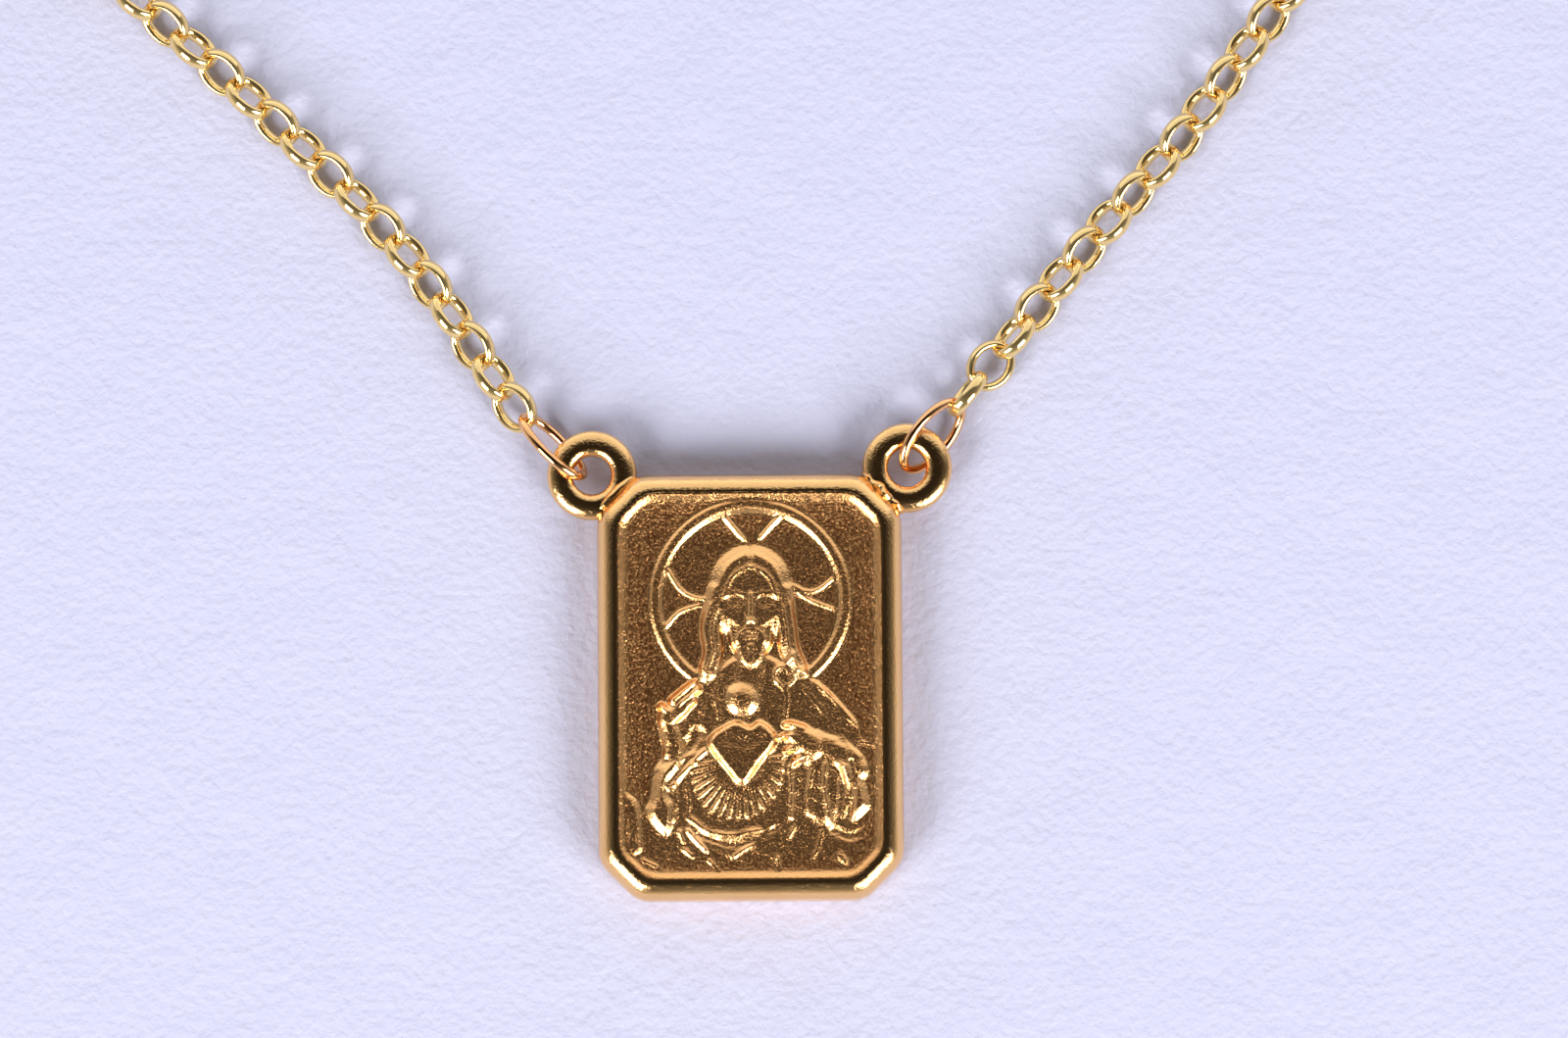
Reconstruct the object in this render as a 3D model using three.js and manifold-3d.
// A religious medal worn on a fine cable chain, lying face up on a table.
// The medal is a cut-corner tablet with a coved rim, a raised bust inside a halo, and an ear soldered
// to each upper corner. An oval jump ring hangs in each ear and holds one half of the chain, and the
// halves close in a spring-ring clasp. Millimetres, +Z up, origin at the middle of the medal's back.
import * as THREE from "three";
import { mergeVertices } from "three/addons/utils/BufferGeometryUtils.js";
import Module from "manifold-3d";

const wasm = await Module();
wasm.setup();

// Medal
const MEDAL_WIDTH = 10.0;
const MEDAL_HEIGHT = 14.0;
const MEDAL_THICKNESS = 1.8;
const CORNER_CUT = 1.3;
const CORNER_SOFTNESS = 0.42;
const CORNER_STEPS = 2;
const BEVEL_WIDTH = 0.62;
const BEVEL_DROP = 0.72;
const RIM_CREST = 0.06;
const RIM_COVE = 0.46;
const RIM_DEPTH = 0.34;
const RELIEF_HEIGHT = 0.45;
const RELIEF_STEP = 0.2;
const HALO_HEIGHT = 0.13;
const HALO_SIDES = 44;

// Ears
const EAR_DIAMETER = 2.96;
const EAR_HOLE = 1.24;
const EAR_THICKNESS = 0.7;
const EAR_ROUND = 0.26;
const EAR_SINK = 0.33;
const EAR_SIDES = 28;

// Jump rings
const JUMP_LENGTH = 3.3;
const JUMP_WIRE = 0.32;
const JUMP_PLAY = 0.33;
const JUMP_SIDES = 16;
const JUMP_WIRE_SIDES = 6;

// Chain
const LINK_LENGTH = 1.76;
const LINK_WIDTH = 1.54;
const LINK_WIRE = 0.31;
const LINK_BAND = 0.45;
const LINK_BITE = 0.1;
const LINK_SIDES = 10;
const WIRE_SIDES = 5;
const SHOWN_LINKS = 18;
const END_LINKS = 3;
const TUBE_SIDES = 8;
const TUBE_STEPS = 36;
const SETTLE_LENGTH = 2.5;
const SETTLE_LINKS = 5;
const LIFT_LINKS = 4;

// Clasp
const CLASP_DIAMETER = 6.0;
const CLASP_TUBE = 1.4;
const CLASP_EYE = 1.54;
const CLASP_EYE_WIRE = 0.34;
const CLASP_PLACE = [-6.4, 167.5];
const CLASP_SIDES = 20;
const CLASP_TUBE_SIDES = 8;

// Clearance between an end link and the ring that holds it
const WIRE_GAP = 0.2;

// The way each half of the chain takes over the table, from its first link to the clasp.
const ROUTES = {
  left: [
    [-11.3, 14.5],
    [-15.6, 18.75],
    [-20.5, 23.2],
    [-35.5, 36.8],
    [-51.2, 51.5],
    [-66.0, 72.3],
    [-73.3, 100.6],
    [-67.0, 128.9],
    [-49.4, 151.8],
    [-29.3, 163.5],
  ],
  right: [
    [11.0, 14.3],
    [14.3, 18.4],
    [18.0, 23.2],
    [32.0, 40.9],
    [46.3, 60.0],
    [57.6, 83.3],
    [59.5, 112.2],
    [48.4, 139.0],
    [27.1, 158.5],
    [10.9, 165.2],
  ],
};

// Heading of each jump ring and its lean from upright, in degrees.
const SIDES = [
  { name: "left", mirror: -1, heading: 131.5, lean: 26 },
  { name: "right", mirror: 1, heading: 50, lean: 38 },
];

// Sizes that follow from those above
const RIM_WIDTH = BEVEL_WIDTH + RIM_CREST + RIM_COVE;
const FIELD_WIDTH = MEDAL_WIDTH - 2 * RIM_WIDTH;
const FIELD_HEIGHT = MEDAL_HEIGHT - 2 * RIM_WIDTH;
const FIELD_Z = MEDAL_THICKNESS - RIM_DEPTH;
const MID_Z = MEDAL_THICKNESS / 2;
const ROOT = RIM_DEPTH / 4;
const LINK_PITCH = LINK_LENGTH - 2 * LINK_WIRE + LINK_BITE;
const LINK_REACH = (LINK_LENGTH - LINK_WIRE) / 2;
const LINK_SPREAD = (LINK_WIDTH - LINK_WIRE) / 2;
const RESTING_LEAN = Math.PI / 4;
const CHAIN_Z = linkRest(RESTING_LEAN);
const UPRIGHT_Z = linkRest(0);

// Outline of the bust and its mantle. Each point is a share of the field's half width and half height.
const MANTLE = [
  [-0.36, 0.08],
  [-0.61, -0.05],
  [-0.81, -0.18],
  [-0.73, -0.36],
  [-0.87, -0.48],
  [-0.92, -0.61],
  [-1.08, -0.65],
  [-1.08, -1.0],
  [1.08, -1.0],
  [1.08, -0.37],
  [0.87, -0.21],
  [0.68, -0.08],
  [0.4, 0.07],
];
const MANTLE_LIFT = 0.36;
const MANTLE_EDGE = 0.07;
const SWELL_EDGE = 0.25;

// Soft swells of the relief: a stroke from one place past a bend to another. Places are shares of the
// field's half width and half height. The half widths at its start and end are shares of the field's half
// width. Its lift, the height of its steep edge, and its crown above that are shares of RELIEF_HEIGHT.
const SWELL_COLUMNS = ["part", "from", "bend", "to", "halves", "lift", "crown"];
const SWELLS = [
  ["hair_left", [0.01, 0.76], [-0.39, 0.78], [-0.3, 0.35], [0.086, 0.108], 0.3, 0.4],
  ["hair_right", [0.02, 0.76], [0.42, 0.78], [0.33, 0.35], [0.086, 0.108], 0.3, 0.4],
  ["lock_left", [-0.3, 0.38], [-0.33, 0.13], [-0.41, -0.02], [0.118, 0.086], 0.34, 0.36],
  ["lock_right", [0.33, 0.38], [0.37, 0.13], [0.5, -0.02], [0.118, 0.086], 0.34, 0.36],
  ["neck", [0.02, 0.21], [0, 0.08], [-0.02, -0.02], [0.151, 0.183], 0.34, 0.14],
  ["face", [0.02, 0.61], [0.02, 0.42], [0.02, 0.28], [0.215, 0.194], 0.42, 0.42],
  ["beard", [0.02, 0.28], [0.02, 0.21], [0.02, 0.15], [0.194, 0.108], 0.42, 0.44],
  ["nose", [0.02, 0.51], [0.02, 0.44], [0.02, 0.37], [0.038, 0.059], 0.84, 0.16],
  ["flame", [-0.05, -0.23], [-0.16, -0.11], [0, 0], [0.129, 0.054], 0.4, 0.3],
  ["blessing_palm", [-0.72, -0.16], [-0.62, -0.12], [-0.53, -0.06], [0.108, 0.108], 0.58, 0.38],
  ["blessing_fingers", [-0.54, -0.06], [-0.48, -0.02], [-0.43, 0.02], [0.075, 0.048], 0.58, 0.3],
  ["blessing_wrist", [-0.71, -0.18], [-0.65, -0.36], [-0.59, -0.53], [0.086, 0.118], 0.46, 0.3],
  ["sleeve_left", [-0.79, -0.42], [-0.82, -0.61], [-0.71, -0.81], [0.086, 0.14], 0.42, 0.38],
  ["cuff_left", [-0.56, -0.48], [-0.53, -0.65], [-0.58, -0.84], [0.054, 0.054], 0.42, 0.3],
  ["hem_left", [-0.99, -0.69], [-0.99, -0.88], [-0.8, -1.0], [0.075, 0.065], 0.4, 0.34],
  ["pointing_hand", [0.34, -0.32], [0.47, -0.29], [0.6, -0.4], [0.118, 0.14], 0.56, 0.4],
  ["pointing_fingers", [0.32, -0.33], [0.29, -0.39], [0.32, -0.47], [0.075, 0.054], 0.56, 0.34],
  ["forearm_right", [0.59, -0.33], [0.82, -0.37], [0.98, -0.5], [0.086, 0.118], 0.48, 0.32],
  ["cuff_right", [0.61, -0.46], [0.58, -0.63], [0.64, -0.84], [0.048, 0.054], 0.42, 0.34],
  ["fold_right", [0.79, -0.48], [0.78, -0.63], [0.82, -0.78], [0.054, 0.065], 0.42, 0.3],
  ["sleeve_right", [0.97, -0.53], [1.08, -0.69], [0.9, -0.82], [0.097, 0.14], 0.42, 0.42],
  ["mantle_edge", [0.41, 0.06], [0.78, -0.04], [1.04, -0.36], [0.032, 0.032], 0.38, 0.16],
  ["sash", [-0.5, -0.71], [-0.11, -1.0], [0.32, -0.71], [0.043, 0.043], 0.4, 0.26],
  ["fold_low_left", [-0.44, -0.76], [-0.38, -0.86], [-0.28, -0.95], [0.043, 0.043], 0.4, 0.3],
  ["fold_low_middle", [0.26, -0.8], [0.06, -0.9], [-0.13, -0.98], [0.043, 0.054], 0.4, 0.26],
  ["fold_low_right", [0.52, -0.82], [0.5, -0.92], [0.41, -1.0], [0.043, 0.054], 0.4, 0.26],
].map((row) => Object.fromEntries(row.map((value, i) => [SWELL_COLUMNS[i], value])));
const STROKE_STEPS = 6;

// Halo: a flat ring with three arms, each of two bars that flare out to the ring. Radii and widths are
// shares of the field's width, and its middle is a share of the half width and half height.
const HALO = { middle: [0.005, 0.479], outer: 0.429, inner: 0.368, bar: 0.03, hub: 0.2, edgeShare: 1 / 3 };
const HALO_ARMS = { headings: [90, 178, 2], spread: 15, pinch: 8 };

// Heart on the breast. Each row of its outline is the control point and the end of a curve, in shares of
// its half width from its middle, and starts at the end of the row before, the first at the heart's point.
const HEART = { middle: [-0.06, -0.36], half: 0.26, lift: 0.86, edge: 0.15 };
const HEART_POINT = [0, -0.95];
const HEART_COLUMNS = ["bendX", "bendY", "endX", "endY"];
const HEART_CURVES = [
  [0.75, -0.25, 1, 0.45],
  [0.7, 0.95, 0, 0.7],
  [-0.7, 0.95, -1, 0.45],
  [-0.75, -0.25, ...HEART_POINT],
].map((row) => Object.fromEntries(row.map((value, i) => [HEART_COLUMNS[i], value])));

// Fan of rays below the heart. Each ray narrows from its half width at the tip to rootShare of it.
const RAYS = {
  count: 15,
  first: 196,
  last: 344,
  inner: 0.15,
  outer: 0.24,
  half: 0.009,
  rootShare: 0.6,
  edgeShare: 0.4,
  lift: 0.56,
};

// A closed three.js geometry as a solid that can be cut and joined.
function solid(geometry) {
  const bare = geometry.index ? geometry.toNonIndexed() : geometry.clone();
  bare.deleteAttribute("normal");
  bare.deleteAttribute("uv");
  const merged = mergeVertices(bare, 1e-4);
  return new wasm.Manifold(
    new wasm.Mesh({
      numProp: 3,
      vertProperties: merged.attributes.position.array,
      triVerts: new Uint32Array(merged.index.array),
    }),
  );
}

// The geometry of a solid, for a mesh.
function geometryOf(made) {
  const { numProp, vertProperties, triVerts } = made.getMesh();
  const places = new Float32Array((vertProperties.length / numProp) * 3);
  for (let i = 0; i * numProp < vertProperties.length; i++)
    places.set(vertProperties.subarray(i * numProp, i * numProp + 3), i * 3);
  const geometry = new THREE.BufferGeometry();
  geometry.setAttribute("position", new THREE.BufferAttribute(places, 3));
  geometry.setIndex(new THREE.BufferAttribute(triVerts, 1));
  geometry.computeVertexNormals();
  return geometry;
}

function joined(geometries) {
  return geometries.map(solid).reduce((whole, piece) => whole.add(piece));
}

// The medal's outline, drawn in from its edge by inset. A short curve rounds each corner.
function outline(inset) {
  const x = MEDAL_WIDTH / 2 - inset;
  const y = MEDAL_HEIGHT / 2 - inset;
  const cut = CORNER_CUT - (2 - Math.SQRT2) * inset;
  const corners = [
    new THREE.Vector2(-x + cut, -y),
    new THREE.Vector2(x - cut, -y),
    new THREE.Vector2(x, -y + cut),
    new THREE.Vector2(x, y - cut),
    new THREE.Vector2(x - cut, y),
    new THREE.Vector2(-x + cut, y),
    new THREE.Vector2(-x, y - cut),
    new THREE.Vector2(-x, -y + cut),
  ];
  const points = corners.flatMap((corner, i) => {
    const before = corners[(i + corners.length - 1) % corners.length];
    const after = corners[(i + 1) % corners.length];
    const softened = (end) => corner.clone().lerp(end, CORNER_SOFTNESS / corner.distanceTo(end));
    const bend = new THREE.QuadraticBezierCurve(softened(before), corner, softened(after));
    return bend.getPoints(CORNER_STEPS);
  });
  return new THREE.Shape(points);
}

// The tablet with rounded edges, hollowed inside its rim by a cutter with a round foot.
function tablet() {
  const body = new THREE.ExtrudeGeometry(outline(0), {
    depth: MEDAL_THICKNESS - 2 * BEVEL_DROP,
    bevelThickness: BEVEL_DROP,
    bevelSize: BEVEL_WIDTH,
    bevelOffset: -BEVEL_WIDTH,
    bevelSegments: 4,
  }).translate(0, 0, BEVEL_DROP);
  const cutter = new THREE.ExtrudeGeometry(outline(RIM_WIDTH), {
    depth: MEDAL_THICKNESS,
    bevelThickness: RIM_DEPTH,
    bevelSize: RIM_COVE,
    bevelSegments: 3,
  }).translate(0, 0, FIELD_Z + RIM_DEPTH);
  return solid(body).subtract(solid(cutter));
}

// The space over the field, from inside the plate to above the rim, which cuts the relief to the field.
function fieldWindow() {
  const settings = { depth: MEDAL_THICKNESS, bevelEnabled: false };
  const block = new THREE.ExtrudeGeometry(outline(RIM_WIDTH), settings);
  return solid(block.translate(0, 0, FIELD_Z - 2 * ROOT));
}

// A place on the field, from its shares of the half width and half height.
function onField([across, up]) {
  return new THREE.Vector2((across * FIELD_WIDTH) / 2, (up * FIELD_HEIGHT) / 2);
}

// Height of a swell above the field at a place: a round crown above a steep edge.
function swellHeight(swell, place) {
  const points = swell.points;
  let height = 0;
  for (let i = 0; i + 1 < points.length; i++) {
    const along = points[i + 1].clone().sub(points[i]);
    const from = place.clone().sub(points[i]);
    const share = THREE.MathUtils.clamp(from.dot(along) / along.lengthSq(), 0, 1);
    const distance = from.sub(along.multiplyScalar(share)).length();
    const run = (i + share) / (points.length - 1);
    const half = (THREE.MathUtils.lerp(...swell.halves, run) * FIELD_WIDTH) / 2;
    if (distance < half) {
      const crown = swell.crown * Math.sqrt(1 - (distance / half) ** 2);
      const lift = swell.lift * Math.min(1, (1 - distance / half) / SWELL_EDGE);
      height = Math.max(height, (lift + crown) * RELIEF_HEIGHT);
    }
  }
  return height;
}

// Height of the mantle at a place: a rounded edge that follows its outline.
function mantleHeight(corners, place) {
  let inside = false;
  let nearest = Infinity;
  corners.forEach((corner, i) => {
    const last = corners[(i + corners.length - 1) % corners.length];
    const along = corner.clone().sub(last);
    const from = place.clone().sub(last);
    const share = THREE.MathUtils.clamp(from.dot(along) / along.lengthSq(), 0, 1);
    nearest = Math.min(nearest, from.clone().sub(along.clone().multiplyScalar(share)).length());
    if (corner.y > place.y !== last.y > place.y)
      inside = inside !== from.x < (along.x * from.y) / along.y;
  });
  if (!inside) return 0;
  const edge = Math.min(1, nearest / ((MANTLE_EDGE * FIELD_WIDTH) / 2));
  return MANTLE_LIFT * RELIEF_HEIGHT * Math.sqrt(1 - (1 - edge) ** 2);
}

// The bust: a block whose top face is raised to the highest form at each place.
function bust() {
  const block = new THREE.BoxGeometry(
    FIELD_WIDTH,
    FIELD_HEIGHT,
    2 * ROOT,
    Math.round(FIELD_WIDTH / RELIEF_STEP),
    Math.round(FIELD_HEIGHT / RELIEF_STEP),
    1,
  );
  const corners = MANTLE.map(onField);
  const swells = SWELLS.map((swell) => {
    const stroke = new THREE.QuadraticBezierCurve(...[swell.from, swell.bend, swell.to].map(onField));
    return { ...swell, points: stroke.getPoints(STROKE_STEPS) };
  });
  const places = block.attributes.position;
  const place = new THREE.Vector2();
  for (let i = 0; i < places.count; i++) {
    if (places.getZ(i) < 0) continue;
    place.set(places.getX(i), places.getY(i));
    const height = Math.max(mantleHeight(corners, place), ...swells.map((s) => swellHeight(s, place)));
    places.setZ(i, height > 0 ? ROOT + height : 0);
  }
  block.translate(0, 0, FIELD_Z - ROOT);
  return solid(block).intersect(fieldWindow());
}

// A flat form of the relief: a shape that stands on the field.
function raised(shape, height, edge) {
  return new THREE.ExtrudeGeometry(shape, {
    depth: height + ROOT - edge,
    bevelThickness: edge,
    bevelSize: edge,
    bevelOffset: -edge,
    bevelSegments: 1,
  }).translate(0, 0, FIELD_Z - ROOT);
}

function quad(start, end, startHalf, endHalf) {
  const side = end.clone().sub(start).normalize().rotateAround(new THREE.Vector2(), Math.PI / 2);
  return new THREE.Shape([
    start.clone().addScaledVector(side, -startHalf),
    end.clone().addScaledVector(side, -endHalf),
    end.clone().addScaledVector(side, endHalf),
    start.clone().addScaledVector(side, startHalf),
  ]);
}

function polar(middle, radius, degrees) {
  const angle = THREE.MathUtils.degToRad(degrees);
  return new THREE.Vector2(radius * Math.cos(angle), radius * Math.sin(angle)).add(middle);
}

function halo() {
  const middle = onField(HALO.middle);
  const edge = HALO_HEIGHT * HALO.edgeShare;
  const outer = HALO.outer * FIELD_WIDTH;
  const inner = HALO.inner * FIELD_WIDTH;
  const ring = new THREE.LatheGeometry(
    [
      new THREE.Vector2(inner, -ROOT),
      new THREE.Vector2(outer, -ROOT),
      new THREE.Vector2(outer, HALO_HEIGHT - edge),
      new THREE.Vector2(outer - edge, HALO_HEIGHT),
      new THREE.Vector2(inner + edge, HALO_HEIGHT),
      new THREE.Vector2(inner, HALO_HEIGHT - edge),
      new THREE.Vector2(inner, -ROOT),
    ],
    HALO_SIDES,
  );
  ring.rotateX(Math.PI / 2).translate(middle.x, middle.y, FIELD_Z);
  const bar = (HALO.bar * FIELD_WIDTH) / 2;
  const bars = HALO_ARMS.headings.flatMap((heading) =>
    [-1, 1].map((side) =>
      raised(
        quad(
          polar(middle, HALO.hub * FIELD_WIDTH, heading + side * HALO_ARMS.pinch),
          polar(middle, (inner + outer) / 2, heading + side * HALO_ARMS.spread),
          bar / 2,
          bar,
        ),
        HALO_HEIGHT,
        edge,
      ),
    ),
  );
  return [ring, ...bars];
}

function heart() {
  const { x, y } = onField(HEART.middle);
  const half = (HEART.half * FIELD_WIDTH) / 2;
  const shape = new THREE.Shape();
  shape.moveTo(x + half * HEART_POINT[0], y + half * HEART_POINT[1]);
  HEART_CURVES.forEach(({ bendX, bendY, endX, endY }) =>
    shape.quadraticCurveTo(x + half * bendX, y + half * bendY, x + half * endX, y + half * endY),
  );
  return new THREE.ExtrudeGeometry(shape, {
    depth: ROOT + HEART.lift * RELIEF_HEIGHT - HEART.edge,
    bevelThickness: HEART.edge,
    bevelSize: HEART.edge,
    bevelOffset: -HEART.edge,
    bevelSegments: 2,
    curveSegments: 4,
  }).translate(0, 0, FIELD_Z - ROOT);
}

function rays() {
  const middle = onField(HEART.middle);
  const half = RAYS.half * FIELD_WIDTH;
  return Array.from({ length: RAYS.count }, (_, i) => {
    const heading = RAYS.first + ((RAYS.last - RAYS.first) * i) / (RAYS.count - 1);
    return raised(
      quad(
        polar(middle, RAYS.inner * FIELD_WIDTH, heading),
        polar(middle, RAYS.outer * FIELD_WIDTH, heading),
        half * RAYS.rootShare,
        half,
      ),
      RAYS.lift * RELIEF_HEIGHT,
      half * RAYS.edgeShare,
    );
  });
}

// The middle of an ear, standing off the middle of its corner.
function earMiddle(mirror) {
  const stand = (EAR_DIAMETER / 2 - EAR_SINK) / Math.SQRT2;
  const x = MEDAL_WIDTH / 2 - CORNER_CUT / 2 + stand;
  const y = MEDAL_HEIGHT / 2 - CORNER_CUT / 2 + stand;
  return new THREE.Vector3(mirror * x, y, MID_Z);
}

function ear(mirror) {
  const hole = EAR_HOLE / 2;
  const rim = EAR_DIAMETER / 2;
  const half = EAR_THICKNESS / 2;
  const inner = EAR_ROUND / 2;
  const middle = earMiddle(mirror);
  return new THREE.LatheGeometry(
    [
      new THREE.Vector2(hole, half - inner),
      new THREE.Vector2(hole, inner - half),
      new THREE.Vector2(hole + inner, -half),
      new THREE.Vector2(rim - EAR_ROUND, -half),
      new THREE.Vector2(rim, EAR_ROUND - half),
      new THREE.Vector2(rim, half - EAR_ROUND),
      new THREE.Vector2(rim - EAR_ROUND, half),
      new THREE.Vector2(hole + inner, half),
      new THREE.Vector2(hole, half - inner),
    ],
    EAR_SIDES,
  )
    .rotateX(Math.PI / 2)
    .translate(middle.x, middle.y, middle.z);
}

function medal() {
  const flat = joined([...halo(), heart(), ...rays()]);
  const body = tablet()
    .add(bust())
    .add(flat.intersect(fieldWindow()))
    .add(joined(SIDES.map(({ mirror }) => ear(mirror))));
  return geometryOf(body);
}

// An oval wire ring of outer length and width, long along X and flat in XY.
function ovalRing(length, width, wire, wireSides, sides) {
  const reach = (length - wire) / 2;
  const spread = (width - wire) / 2;
  const mean = (reach + spread) / 2;
  const ring = new THREE.TorusGeometry(mean, wire / 2, wireSides, sides);
  return ring.scale(reach / mean, spread / mean, 1);
}

// Turns a ring so that its length runs along heading and its plane leans from upright, then moves it.
function placed(ring, middle, along, lean) {
  const side = new THREE.Vector3(0, 0, 1).cross(along).normalize();
  const up = along.clone().cross(side);
  const across = up.multiplyScalar(Math.cos(lean)).addScaledVector(side, Math.sin(lean));
  const basis = new THREE.Matrix4().makeBasis(along, across, along.clone().cross(across));
  return ring.applyMatrix4(basis.setPosition(middle));
}

function headingVector(degrees) {
  const angle = THREE.MathUtils.degToRad(degrees);
  return new THREE.Vector3(Math.cos(angle), Math.sin(angle), 0);
}

// A jump ring's near wire stands in the middle of the ear's hole, and its long sides pass over and
// under the ear.
const JUMP_WIDTH = EAR_THICKNESS + 2 * (JUMP_WIRE + JUMP_PLAY);
const JUMP_REACH = (JUMP_LENGTH - JUMP_WIRE) / 2;

function jumpRing({ mirror, heading, lean }) {
  const along = headingVector(heading);
  const middle = earMiddle(mirror).addScaledVector(along, JUMP_REACH);
  const ring = ovalRing(JUMP_LENGTH, JUMP_WIDTH, JUMP_WIRE, JUMP_WIRE_SIDES, JUMP_SIDES);
  return placed(ring, middle, along, THREE.MathUtils.degToRad(lean));
}

// Where the first link of a half sits: its near wire hangs inside the far end of the jump ring.
function firstLink({ mirror, heading }) {
  const hook = JUMP_WIRE / 2 + WIRE_GAP + LINK_WIRE / 2;
  const distance = 2 * JUMP_REACH - hook + LINK_REACH;
  return earMiddle(mirror).addScaledVector(headingVector(heading), distance);
}

// Where the last link of a half sits: its far wire hangs inside the clasp's eye.
const EYE_REACH = (CLASP_EYE - CLASP_EYE_WIRE) / 2;
const EYE_MIDDLE = CLASP_DIAMETER / 2 + EYE_REACH - CLASP_EYE_WIRE / 2;
const CLASP_MIDDLE = new THREE.Vector3(...CLASP_PLACE, CLASP_TUBE / 2);
function lastLink({ mirror }) {
  const hook = CLASP_EYE_WIRE / 2 + WIRE_GAP + LINK_WIRE / 2;
  const distance = EYE_MIDDLE + EYE_REACH - hook + LINK_REACH;
  return CLASP_MIDDLE.clone().add(new THREE.Vector3(mirror * distance, 0, 0)).setZ(UPRIGHT_Z);
}

// The middle line of a half of the chain. Its chosen points lie on the table, and it rises to both ends.
function chainLine(side) {
  const first = firstLink(side);
  const last = lastLink(side);
  const chosen = ROUTES[side.name].map(([x, y]) => new THREE.Vector3(x, y, 0));
  const way = new THREE.CatmullRomCurve3([first.clone().setZ(0), ...chosen, last.clone().setZ(0)]);
  way.arcLengthDivisions = 1200;
  const length = way.getLength();
  const rise = (from, distance) => (from - CHAIN_Z) * Math.exp(-distance / SETTLE_LENGTH);
  return {
    length,
    at(distance) {
      const height = CHAIN_Z + rise(first.z, distance) + rise(last.z, length - distance);
      return way.getPointAt(Math.min(1, distance / length)).setZ(height);
    },
    along: (distance) => way.getTangentAt(Math.min(1, distance / length)),
  };
}

// Height of a resting link's middle, from how far it leans from upright.
function linkRest(lean) {
  const wire = LINK_WIRE * Math.cos(lean);
  const band = LINK_BAND * Math.sin(lean);
  return LINK_SPREAD * Math.abs(Math.cos(lean)) + Math.hypot(wire, band) / 2;
}

// How far link i of count leans from upright: neighbours stand crosswise, the first to the jump ring,
// the last upright in the clasp's eye, and the rest lean evenly on the table.
function linkLean(i, count, lean) {
  const start = THREE.MathUtils.degToRad(lean);
  const crosswise = ((i + 1) % 2) * (Math.PI / 2);
  const end = (count % 2) * (Math.PI / 2);
  const settled = THREE.MathUtils.lerp(start, RESTING_LEAN, Math.min(1, i / SETTLE_LINKS));
  const left = Math.min(1, (count - 1 - i) / LIFT_LINKS);
  return THREE.MathUtils.lerp(end, settled, left) + crosswise;
}

// Half of the chain as one body: its shown links and the last ones before the clasp are real links,
// and the plain stretch between them is a tube as wide as the links.
function chainHalf(side) {
  const line = chainLine(side);
  const count = Math.round(line.length / LINK_PITCH) + 1;
  const pitch = line.length / (count - 1);
  const link = (i) => {
    const lean = linkLean(i, count, side.lean);
    const middle = line.at(i * pitch);
    middle.z = Math.max(middle.z, linkRest(lean));
    const ring = ovalRing(LINK_LENGTH, LINK_WIDTH, LINK_WIRE, WIRE_SIDES, LINK_SIDES);
    ring.scale(1, 1, LINK_BAND / LINK_WIRE);
    return placed(ring, middle, line.along(i * pitch), lean);
  };
  const shown = Array.from({ length: SHOWN_LINKS }, (_, k) => link(k));
  const last = Array.from({ length: END_LINKS }, (_, k) => link(count - 1 - k));
  const start = (SHOWN_LINKS - 0.5) * pitch;
  const step = (line.length - (END_LINKS - 0.5) * pitch - start) / TUBE_STEPS;
  const stations = Array.from({ length: TUBE_STEPS + 1 }, (_, k) => line.at(start + k * step));
  const radius = CHAIN_Z / Math.cos(Math.PI / TUBE_SIDES);
  const turn = 360 / TUBE_SIDES;
  const corner = (_, k) => polar(new THREE.Vector2(), radius, (k + 0.5) * turn);
  const section = new THREE.Shape(Array.from({ length: TUBE_SIDES }, corner));
  const tube = new THREE.ExtrudeGeometry(section, {
    steps: TUBE_STEPS,
    extrudePath: new THREE.CatmullRomCurve3(stations),
    bevelEnabled: false,
  });
  return geometryOf(joined([...shown, ...last, tube]));
}

// The clasp: a round spring ring with an eye on each side.
function clasp() {
  const middle = (CLASP_DIAMETER - CLASP_TUBE) / 2;
  const ring = new THREE.TorusGeometry(middle, CLASP_TUBE / 2, CLASP_TUBE_SIDES, CLASP_SIDES);
  const eye = () => ovalRing(CLASP_EYE, CLASP_EYE, CLASP_EYE_WIRE, JUMP_WIRE_SIDES, JUMP_SIDES);
  const eyes = SIDES.map(({ mirror }) => eye().translate(mirror * EYE_MIDDLE, 0, 0));
  return geometryOf(joined([ring, ...eyes])).translate(...CLASP_MIDDLE);
}

const necklace = new THREE.Group();
function addPiece(name, geometry, color, roughness) {
  const finish = new THREE.MeshStandardMaterial({ color, roughness, metalness: 1 });
  const piece = new THREE.Mesh(geometry, finish);
  piece.name = name;
  necklace.add(piece);
}

addPiece("medal", medal(), 0xb98a3a, 0.35);
SIDES.forEach((side) => addPiece(`jump_ring_${side.name}`, jumpRing(side), 0xd9a441, 0.15));
SIDES.forEach((side) => addPiece(`chain_${side.name}`, chainHalf(side), 0xd9a441, 0.15));
addPiece("clasp", clasp(), 0xd9a441, 0.18);

export default necklace;
